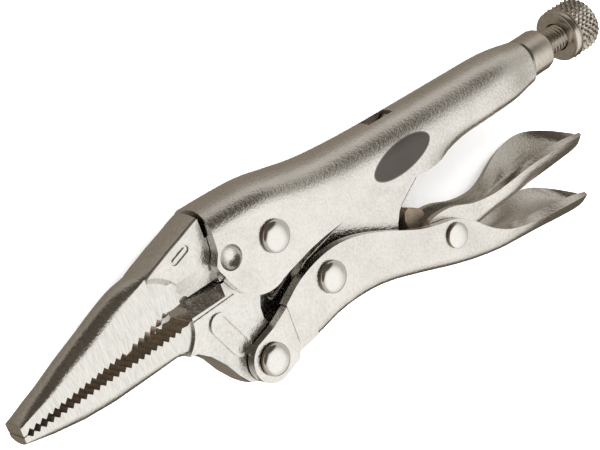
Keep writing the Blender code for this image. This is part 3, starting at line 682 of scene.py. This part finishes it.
def lower_jaw():
    """Forged lower jaw: nose, cutter, pivot eye inside the handle, ear for the lower handle."""
    nose = teeth((-62.2, -7.75), (-25.0, -7.0), -0.8, 0.6)
    step = [(-23.6, -7.2), (-22.8, -6.8)]
    belly = [(-22.6, -15.2), (-24.2, -13.7), (-27.4, -12.6), (-33.0, -12.9), (-43.0, -13.1),
             (-50.0, -12.6), (-56.5, -11.5), (-61.5, -10.2), (-62.9, -9.8)]
    crowned = [(x, y + BELLY_CROWN(x), -BELLY_CROWN(x), 0.9) for x, y in belly]
    back = [(-18.0, -6.8), (-18.0, -14.0)]
    tip = [(TIP_X, -8.9), (TIP_X, -7.9)]
    body = bar("lower_jaw_forging", plain(nose + step + back) + crowned + plain(tip), NOSE_HALF)
    cutter = [(-22.3, -4.2), (-21.6, CUTTER_EDGE - GAP), (-5.0, CUTTER_EDGE - GAP)]
    eye = arc(JAW_PIVOT, 6.2, 213, -52, 24)
    rear = [(-3.4, -8.6), (-6.4, -10.2), (-7.3, -12.4), (-7.4, -14.6), (-6.4, -16.8)]
    ear = arc(HANDLE_PIVOT, 4.8, 32, -126, 18)
    under = [(-15.4, -25.3), (-17.3, -22.6), (-19.2, -19.0), (-21.6, -15.8), (-24.2, -13.6)]
    crown = 0.5
    plate_belly = [(x, y + crown, -crown, 0.6) for x, y in under]
    front = arc((-30.0, -6.4), 7.4, -58, -2, 10)
    plate = bar("plate", plain(cutter + eye + rear + ear) + plate_belly + plain(front),
                lambda x: JAW_HALF)
    boolean(body, plate, "UNION")
    for side in (1, -1):
        boolean(body, edge_cutter(side, CUTTER_EDGE - GAP, (2.5, -4.0), -6.3, 0.0))
        line = [(-22.9, -7.1), (-22.9, -6.8), (-12.0, -6.5), (-12.0, -6.8)]
        boolean(body, slab("line", line, side, JAW_HALF - 0.3, JAW_HALF + 1))
        ring = slab("ring", stadium(RING_CENTRE, RING_LIE, 11.6, 4.8), side, JAW_HALF - 0.5,
                    JAW_HALF + 0.45)
        inside = stadium(RING_CENTRE, RING_LIE, 10.2, 3.4)
        boolean(ring, slab("inside", inside, side, JAW_HALF - 1.5, JAW_HALF + 1.45))
        boolean(body, ring, "UNION")
    lug = [(-9.0, -10.6), (-9.0, -15.4), (-3.0, -15.0)] + arc(LUG, 2.0, -90, 90, 12) + [(-3.0, -10.8)]
    boolean(body, prism("lug", lug, -LUG_HALF, LUG_HALF), "UNION")
    drill(body, LUG, LUG_HOLE, sides=20)
    drill(body, JAW_PIVOT, RIVET_SHANK + GAP)
    drill(body, HANDLE_PIVOT, RIVET_SHANK + GAP)
    colour_jaw(body, LOWER_TEETH_LOW, LOWER_TEETH_HIGH)
    place(body, "lower_jaw_body", [FORGED, GROUND, OXIDE_AND_PAINTED_SHADE, TIP_FACE], ["lower_jaw"],
          edge=0.16, smooth_angle=34)


# ---------------------------------------------------------------- lower handle and lever
def trough_section(bottom, rim, half, corner, dish):
    """The outside of a channel that opens upward; dish blends it from a U into a spoon."""
    wall = rim - bottom
    corner = min(corner, wall * 0.8, half - 0.5)
    flat = half - corner
    bend = corner * math.pi / 2
    total = flat + bend + wall - corner
    half_path = []
    steps = 16
    for k in range(steps + 1):
        t = k / steps
        along = t * total
        if along <= flat:
            z, y = along, bottom
        elif along <= flat + bend:
            angle = (along - flat) / corner
            z = flat + corner * math.sin(angle)
            y = bottom + corner - corner * math.cos(angle)
        else:
            z, y = half, bottom + corner + along - flat - bend
        spoon_z, spoon_y = half * t, bottom + wall * t ** 2.2
        half_path.append((z + (spoon_z - z) * dish, y + (spoon_y - y) * dish))
    return mirrored(half_path)


LOWER_RIM = smooth([(-3, -14.0), (2, -11.2), (8.3, -9.5), (14, -9.3), (20, -10.6), (27, -13.5),
                    (34.6, -17.2), (40, -18.9), (45, -20.2), (49, -22.6), (53, -26.5), (58, -29.7),
                    (63, -31.1), (68, -31.8), (74, -32.1), (80, -33.0), (84, -34.6), (TAIL_END, -36.5)])
LOWER_BOTTOM = smooth([(-3, -25.0), (3, -24.4), (9.5, -23.2), (16, -23.0), (23, -23.9), (32, -26.6),
                       (43, -30.4), (55, -33.8), (62, -35.2), (70, -36.4), (78, -37.5),
                       (TAIL_END, -38.6)])
LOWER_WIDTH = smooth([(-3, HANDLE_HALF), (44, HANDLE_HALF), (52, HANDLE_HALF), (60, 6.9), (66, 7.9),
                      (72, 9.0), (TAIL_WIDEST, TAIL_HALF), (81, 8.5), (84.5, 5.4), (TAIL_END, 0.8)])
LOWER_SHEET = smooth([(-3, SHEET), (60, SHEET), (66, SHEET), (76, 1.8), (TAIL_END, 0.4)])
LOWER_DISH = smooth([(-3, 0), (46, 0), (55, 0.25), (64, 0.8), (70, 1), (TAIL_END, 1)])


def lower_handle():
    """Stamped channel, open towards the upper handle, with pressed ears and a spoon tail."""
    sections = []
    for x in spaced(-3, 81, 1.7) + spaced(82, TAIL_END, 0.6):
        path = trough_section(LOWER_BOTTOM(x), LOWER_RIM(x), LOWER_WIDTH(x), 2.6, LOWER_DISH(x))
        sections.append((x, path, LOWER_SHEET(x)))
    body = channel("lower_handle_shell", sections)
    outline = (arc(HANDLE_PIVOT, 4.95, 118, 292, 24) + [(-4.4, -25.8), (-3.6, -24.4), (2.0, -23.6)]
               + [(2.0, -12.4), (-2.8, -14.4), (-7.6, -16.6)])
    for side in (1, -1):
        ear = slab("ear", outline, side, INNER_HALF + 0.15, HANDLE_HALF - 0.15)
        boolean(body, ear, "UNION")
    for pivot, radius in ((HANDLE_PIVOT, RIVET_SHANK), (LINK_PIVOT, RIVET_SHANK),
                          (LEVER_PIVOT, LEVER_RIVET_SHANK)):
        drill(body, pivot, radius + GAP)
    place(body, "lower_handle_body", [PLATED], ["lower_handle"], edge=0.42)


LEVER_RIM = smooth([(38.6, -18.9), (42, -18.1), (47, -18.6), (53, -20.8), (59, -21.7), (63.5, -21.2),
                    (68, -20.2), (72, -19.6), (78, -19.3), (83, -19.9), (88, -21.5), (LEVER_END, -23.3)])
LEVER_BOTTOM = smooth([(38.6, -25.4), (43, -26.9), (50, -26.7), (58, -26.1), (66, -26.0), (76, -25.8),
                       (84, -25.5), (LEVER_END, -25.9)])
LEVER_WIDTH = smooth([(38.6, LEVER_HALF), (56, LEVER_HALF), (62, 4.6), (68, 6.3), (74, 8.0), (80, 8.8),
                      (84, 8.2), (88, 5.4), (LEVER_END, 0.8)])
LEVER_THICKNESS = smooth([(38.6, LEVER_SHEET), (68, LEVER_SHEET), (74, LEVER_SHEET), (84, 1.2),
                          (LEVER_END, 0.4)])
LEVER_DISH = smooth([(38.6, 0), (56, 0), (64, 0.5), (72, 1), (LEVER_END, 1)])


def release_lever():
    """Small trough inside the lower handle, with a nose under the link and a spoon tail."""
    sections = []
    for x in spaced(38.6, 86, 1.5) + spaced(86.7, LEVER_END, 0.6):
        path = trough_section(LEVER_BOTTOM(x), LEVER_RIM(x), LEVER_WIDTH(x), 2.4, LEVER_DISH(x))
        sections.append((x, path, LEVER_THICKNESS(x)))
    body = channel("release_lever_shell", sections)
    nose = [(38.0, -24.4), (36.2, -20.0), (35.6, -16.2), (36.2, -14.6), (37.4, -14.1), (40.6, -15.9),
            (41.2, -17.4), (39.6, -18.2), (39.6, -24.0)]
    boolean(body, prism("nose", nose, -NOSE_BLOCK_HALF, NOSE_BLOCK_HALF), "UNION")
    drill(body, LEVER_PIVOT, LEVER_RIVET_SHANK + GAP)
    # The nose, deep between the lever's flanges, takes the dark oxide colour as painted shade.
    for polygon in body.data.polygons:
        centre = polygon.center
        painted_shade_on_nose = abs(centre.z) < NOSE_BLOCK_HALF + 0.05 and centre.x < NOSE_BLOCK_END
        polygon.material_index = 1 if painted_shade_on_nose else 0
    place(body, "lever_body", [PLATED, OXIDE_AND_PAINTED_SHADE], ["release_lever"], edge=0.3)


# ---------------------------------------------------------------- link, spring, rivets, screw
def toggle_link():
    """Flat link from the lower handle to the adjusting screw's tip."""
    eye = arc(LINK_PIVOT, 4.3, 262, 104, 20)
    tail = arc(LINK_TAIL, 1.7, 115, -50, 12)
    edge = [(44.0, -7.4), (42.0, -9.2), (38.4, -11.2), (36.4, -12.4), (35.0, -13.6), (33.6, -15.9)]
    corner = arc((31.6, -15.6), 2.0, -10, -90, 6)
    outline = eye + [(20.4, -7.7)] + tail + edge + corner
    body = prism("toggle_link_plate", outline, -LINK_HALF, LINK_HALF)
    drill(body, LINK_PIVOT, RIVET_SHANK + GAP)
    place(body, "link_body", [PLATED], ["toggle_link"], edge=0.35)


def tension_spring():
    """Close-wound coil with a hook round the jaw's lug and another on the handle's tab."""
    wire_radius = 0.42
    coil_radius = 1.55
    turns, steps = 24, 14
    first, last = Vector((10.5, -7.7, 0.0)), Vector((32.0, 2.5, 0.0))
    along = (last - first).normalized()
    side = Vector((0.0, 0.0, 1.0))
    up = side.cross(along)
    coil = []
    for i in range(turns * steps + 1):
        t = i / (turns * steps)
        angle = math.tau * turns * t
        offset = coil_radius * (side * math.cos(angle) + up * math.sin(angle))
        coil.append(tuple(first + (last - first) * t + offset))
    hook = through([(-2.2, -12.9, -1.7), (-2.2, -12.9, 0.0), (-2.1, -12.9, 1.5), (-0.8, -12.6, 1.9),
                    (3.0, -11.2, 1.2), (7.5, -9.3, 0.9), coil[0]], 6)
    tail = through([coil[-1], (33.4, 3.0, 0.9), (35.0, 3.9, 0.4), (36.0, 4.5, 0.0)], 5)
    piece = wire("tension_spring_coil", hook[:-1] + coil + tail[1:], wire_radius, sides=9)
    place(piece, None, [SPRING], ["tension_spring"], smooth_angle=60)
    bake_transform(piece)


def rivet(name, body, node_name, pivot, shank, head, height):
    """A pin with a polished dome at each end and a wall round each dome painted dark as shade."""
    face = HANDLE_HALF + RIVET_SEAT
    wall = face + RIVET_WALL
    upper = [(shank, face), (head, face), (head, wall)]
    upper += [(head * math.cos(a), wall + (height - RIVET_WALL) * math.sin(a))
              for a in spaced(math.pi / 36, math.pi / 2 - math.pi / 36, math.pi / 36)]
    upper.append((0, face + height))
    lower = [(radius, -along) for radius, along in reversed(upper)]
    piece = dome(name, pivot, lower + upper, 56)
    # The straight wall round each dome takes the dark oxide colour as painted shade, a dark ring round
    # the head.
    for polygon in piece.data.polygons:
        polygon.material_index = 1 if abs(polygon.normal.z) < 0.05 else 0
    place(piece, body, [POLISHED, OXIDE_AND_PAINTED_SHADE], [node_name], smooth_angle=50)


def screw_bush():
    """Tapped bush at the end of the upper handle."""
    bore = SCREW_RADIUS + GAP
    rings = [(BUSH_START, bore, 0), (BUSH_START, BUSH_RADIUS - 0.5, 0),
             (BUSH_START + 0.6, BUSH_RADIUS, 0), (BUSH_END - 1.5, BUSH_RADIUS, 0),
             (BUSH_END - 0.8, BUSH_RADIUS - 0.2, 0), (BUSH_END - 0.3, BUSH_RADIUS - 0.65, 0),
             (BUSH_END, BUSH_RADIUS - 1.2, 0), (BUSH_END, bore, 0)]
    piece = lathe("screw_bush_sleeve", rings + rings[:1], 64)
    bm = bmesh.new()
    bm.from_mesh(piece.data)
    bmesh.ops.remove_doubles(bm, verts=bm.verts, dist=0.001)
    bm.to_mesh(piece.data)
    bm.free()
    place(piece, "upper_body", [TURNED], ["screw_bush"], edge=0.12)


def thread(angle, x):
    """How deep the thread is cut at a place on the screw."""
    turn = (x / SCREW_PITCH - angle / math.tau) % 1.0
    return THREAD_DEPTH * min(1.0, max(0.0, abs(2 * turn - 1) * 1.3 - 0.15))


def adjusting_screw():
    """Threaded rod with a chamfered tip."""
    rear = KNOB_START + KNOB_BORE_DEPTH - GAP
    rings = [(SCREW_START, 0, 0), (SCREW_START, 1.9, 0), (SCREW_START + 0.9, SCREW_RADIUS - 0.6, 0)]
    rings += [(x, SCREW_RADIUS, 1) for x in spaced(SCREW_START + 1.1, rear, SCREW_PITCH / 8)]
    rings.append((rear, 0, 0))
    piece = lathe("adjusting_screw_thread", rings, 28, thread)
    place(piece, "screw_body", [TURNED], ["adjusting_screw"], smooth_angle=60)


def knurl(angle, x):
    """How deep the diamond knurl is cut at a place on the knob."""
    around = KNURL_TEETH * angle / math.tau
    along = x * KNURL_TEETH / (math.tau * KNOB_RADIUS)
    one = abs(2 * ((around + along) % 1.0) - 1)
    two = abs(2 * ((around - along) % 1.0) - 1)
    return KNURL_DEPTH * (1 - min(1.0, 1.25 * min(one, two)))


def adjusting_knob():
    """Round knob with a plain flange, a diamond-knurled grip and a domed end."""
    bore = SCREW_RADIUS + GAP
    floor_x = KNOB_START + KNOB_BORE_DEPTH
    grip = KNOB_START + KNOB_FLANGE
    crest = KNOB_RADIUS + 0.3
    rings = [(floor_x, 0, 0), (floor_x, bore, 0), (KNOB_START, bore, 0), (KNOB_START, bore + 0.1, 0),
             (KNOB_START, KNOB_RADIUS - 0.35, 0), (KNOB_START + 0.1, KNOB_RADIUS - 0.15, 0),
             (KNOB_START + 0.35, KNOB_RADIUS, 0), (grip - 0.25, KNOB_RADIUS, 0),
             (grip, KNOB_RADIUS - 0.35, 0)]
    domed = 2.2
    for x in spaced(grip + 0.2, KNOB_END, 0.2):
        fade = max(0.0, (x - (KNOB_END - domed)) / domed)
        radius = crest - 2.3 * (1 - math.sqrt(max(0.0, 1 - fade * fade)))
        relief = min(1.0, (x - grip) / 0.5) * (1 - fade ** 3)
        rings.append((x, max(radius, 0.5), relief))
    rings.append((KNOB_END, 0, 0))
    piece = lathe("adjusting_knob_grip", rings, KNURL_TEETH * 6, knurl)
    place(piece, "knob_body", [TURNED], ["adjusting_knob"], smooth_angle=45)


upper_handle()
oval_patch("oval_patch_rim", 8.6, 3.3, 0.03, PATCH_RIM)
oval_patch("oval_patch", 8.35, 3.05, 0.06, PATCH)
fixed_jaw()
lower_jaw()
lower_handle()
release_lever()
toggle_link()
tension_spring()
rivet("jaw_rivet_domes", "upper_body", "jaw_rivet", JAW_PIVOT, RIVET_SHANK, RIVET_HEAD, RIVET_DOME)
rivet("handle_rivet_domes", "lower_handle_body", "handle_rivet", HANDLE_PIVOT, RIVET_SHANK, RIVET_HEAD,
      RIVET_DOME)
rivet("link_rivet_domes", "lower_handle_body", "link_rivet", LINK_PIVOT, RIVET_SHANK, RIVET_HEAD,
      RIVET_DOME)
rivet("lever_rivet_domes", "lower_handle_body", "lever_rivet", LEVER_PIVOT, LEVER_RIVET_SHANK,
      LEVER_RIVET_HEAD, LEVER_RIVET_DOME)
screw_bush()
adjusting_screw()
adjusting_knob()


# ---------------------------------------------------------------- camera, floor and light
CAMERA_FROM_RIVET = Vector((-0.17383, 0.12233, 0.27360))
CAMERA_TURN = Matrix(((0.71065041, 0.47106384, -0.52256565), (-0.31886945, 0.87774857, 0.35760274),
                      (0.62713497, -0.08750031, 0.77398025)))
FLOOR_HALF = 2.5
FLOOR_Z = -0.0004
LIGHT_SIDE = 0.8
LIGHT_HEIGHT = 1.0
LIGHT_SIZE = 1.2
LIGHT_POWER = 26

camera_data = bpy.data.cameras.new("camera")
camera_data.sensor_width = 36.0
camera_data.lens = 104.8
camera_data.clip_start = 0.01
camera = bpy.data.objects.new("camera", camera_data)
bpy.context.scene.collection.objects.link(camera)
camera.matrix_world = Matrix.Translation(ORIGIN + CAMERA_FROM_RIVET) @ CAMERA_TURN.to_4x4()
bpy.context.scene.camera = camera
bpy.context.scene.view_settings.view_transform = "Standard"


def floor():
    """A plain pale floor under the tool."""
    bm = bmesh.new()
    bm.faces.new([bm.verts.new((x * FLOOR_HALF, y * FLOOR_HALF, FLOOR_Z))
                  for x, y in ((-1, -1), (1, -1), (1, 1), (-1, 1))])
    made = mesh_object("floor", bm)
    pale = bpy.data.materials.new("pale_floor")
    pale.use_nodes = True
    shader = pale.node_tree.nodes["Principled BSDF"]
    shader.inputs["Base Color"].default_value = (0.93, 0.93, 0.93, 1)
    shader.inputs["Roughness"].default_value = 0.9
    made.data.materials.append(pale)
    made.visible_glossy = False


def area_light(x, y, z):
    """A soft square light that faces the tool and shows in no reflection."""
    data = bpy.data.lights.new("soft_light", "AREA")
    data.size = LIGHT_SIZE
    data.energy = LIGHT_POWER
    made = bpy.data.objects.new("soft_light", data)
    bpy.context.scene.collection.objects.link(made)
    made.location = (x, y, z)
    made.rotation_euler = Vector((-x, -y, -z)).to_track_quat("-Z", "Y").to_euler()
    made.visible_glossy = False


def direction(azimuth, elevation):
    """A unit vector from its angles in degrees."""
    flat = math.cos(math.radians(elevation))
    return Vector((flat * math.cos(math.radians(azimuth)), flat * math.sin(math.radians(azimuth)),
                   math.sin(math.radians(elevation))))


BACKDROP = [(0.00, (0.25, 0.215, 0.175)), (0.15, (0.27, 0.235, 0.19)), (0.37, (0.33, 0.295, 0.25)),
            (0.59, (0.58, 0.55, 0.50)), (0.80, (0.52, 0.495, 0.45)), (1.00, (0.62, 0.595, 0.55))]
PANELS = [((-62, 28), 16, 36, (0.82, 0.79, 0.74)),
          ((-60, 60), 16, 42, (1.08, 1.065, 1.025)),
          ((62, 52), 19, 32, (0.085, 0.07, 0.055)),
          ((100, 25), 26, 40, (0.085, 0.07, 0.055)),
          ((140, 48), 30, 42, (0.10, 0.085, 0.065)),
          ((-60, -25), 15, 35, (0.12, 0.10, 0.08))]


def studio():
    """The room that the metal reflects: a grey backdrop, two bright panels and four dark ones.

    PANELS gives each panel's direction, the angles at which it is whole and gone, and its colour.
    """
    world = bpy.data.worlds.new("studio")
    bpy.context.scene.world = world
    world.use_nodes = True
    tree = world.node_tree
    link = tree.links.new
    where = node(tree, "ShaderNodeTexCoord")

    def towards(vector):
        """How far the view looks along a direction, from -1 to 1."""
        dot = node(tree, "ShaderNodeVectorMath", operation="DOT_PRODUCT")
        link(where.outputs["Generated"], dot.inputs[0])
        dot.inputs[1].default_value = vector
        return dot.outputs["Value"]

    height = node(tree, "ShaderNodeMapRange")
    height.inputs["From Min"].default_value = -1.0
    link(towards((0, 0, 1)), height.inputs["Value"])
    backdrop = node(tree, "ShaderNodeValToRGB")
    backdrop.color_ramp.interpolation = "EASE"
    elements = backdrop.color_ramp.elements
    while len(elements) < len(BACKDROP):
        elements.new(0.5)
    for element, (position, colour) in zip(elements, BACKDROP):
        element.position = position
        element.color = (*colour, 1)
    link(height.outputs["Result"], backdrop.inputs["Fac"])
    seen = backdrop.outputs["Color"]
    for (azimuth, elevation), whole, gone, colour in PANELS:
        share = node(tree, "ShaderNodeMapRange", interpolation_type="SMOOTHSTEP")
        share.inputs["From Min"].default_value = math.cos(math.radians(gone))
        share.inputs["From Max"].default_value = math.cos(math.radians(whole))
        link(towards(direction(azimuth, elevation)), share.inputs["Value"])
        mixed = node(tree, "ShaderNodeMix", data_type="RGBA")
        link(share.outputs["Result"], mixed.inputs["Factor"])
        link(seen, mixed.inputs[6])
        mixed.inputs[7].default_value = (*colour, 1)
        seen = mixed.outputs[2]
    link(seen, tree.nodes["Background"].inputs["Color"])


floor()
studio()
for right, back in ((1, 1), (-1, 1), (-1, -1), (1, -1)):
    area_light(LIGHT_SIDE * right, LIGHT_SIDE * back, LIGHT_HEIGHT)
